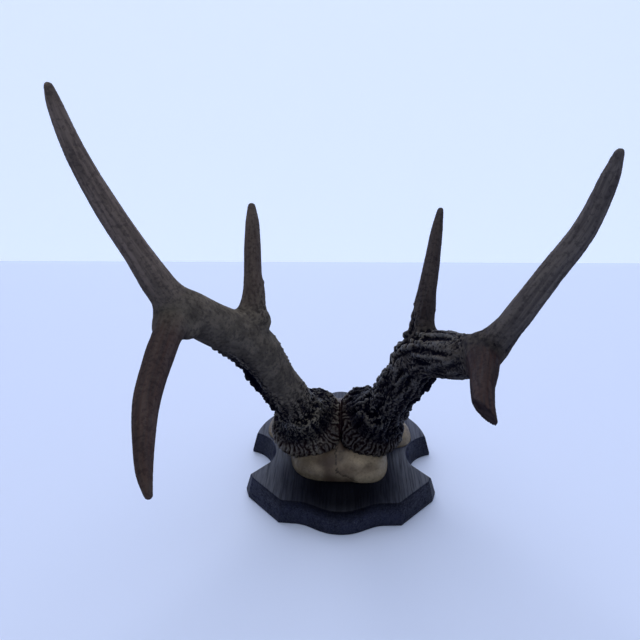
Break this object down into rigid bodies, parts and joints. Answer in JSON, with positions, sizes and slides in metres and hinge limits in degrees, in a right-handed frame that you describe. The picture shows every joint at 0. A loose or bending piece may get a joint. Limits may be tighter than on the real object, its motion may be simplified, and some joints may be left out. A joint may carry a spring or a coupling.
{
  "type": "mounted deer antlers",
  "caption": "Pearled roe-buck antlers on their skull cap, fixed to a small dark-stained wooden shield with notched sides.",
  "frame": {"origin": "middle of the shield's flat back", "axes": "+Z out of the shield's face, +Y towards the forehead end of the skull cap, -Y towards its braincase end, over which the antlers rake back, +X to the buck's right"},
  "size_m": [0.2321, 0.2329, 0.2506],
  "materials": {
    "stained_wood": "black-stained open-grained wood, satin",
    "bone": "dry cream and brown skull bone",
    "antler": "dark brown antler, glossy on the pearls"
  },
  "bodies": {
    "root": {"plaque": "stained_wood", "skull_cap": "bone", "left_lower_beam": "antler", "left_front_tine": "antler", "left_upper_beam": "antler", "left_rear_tine": "antler", "right_lower_beam": "antler", "right_front_tine": "antler", "right_upper_beam": "antler", "right_rear_tine": "antler"}
  },
  "joints": []
}
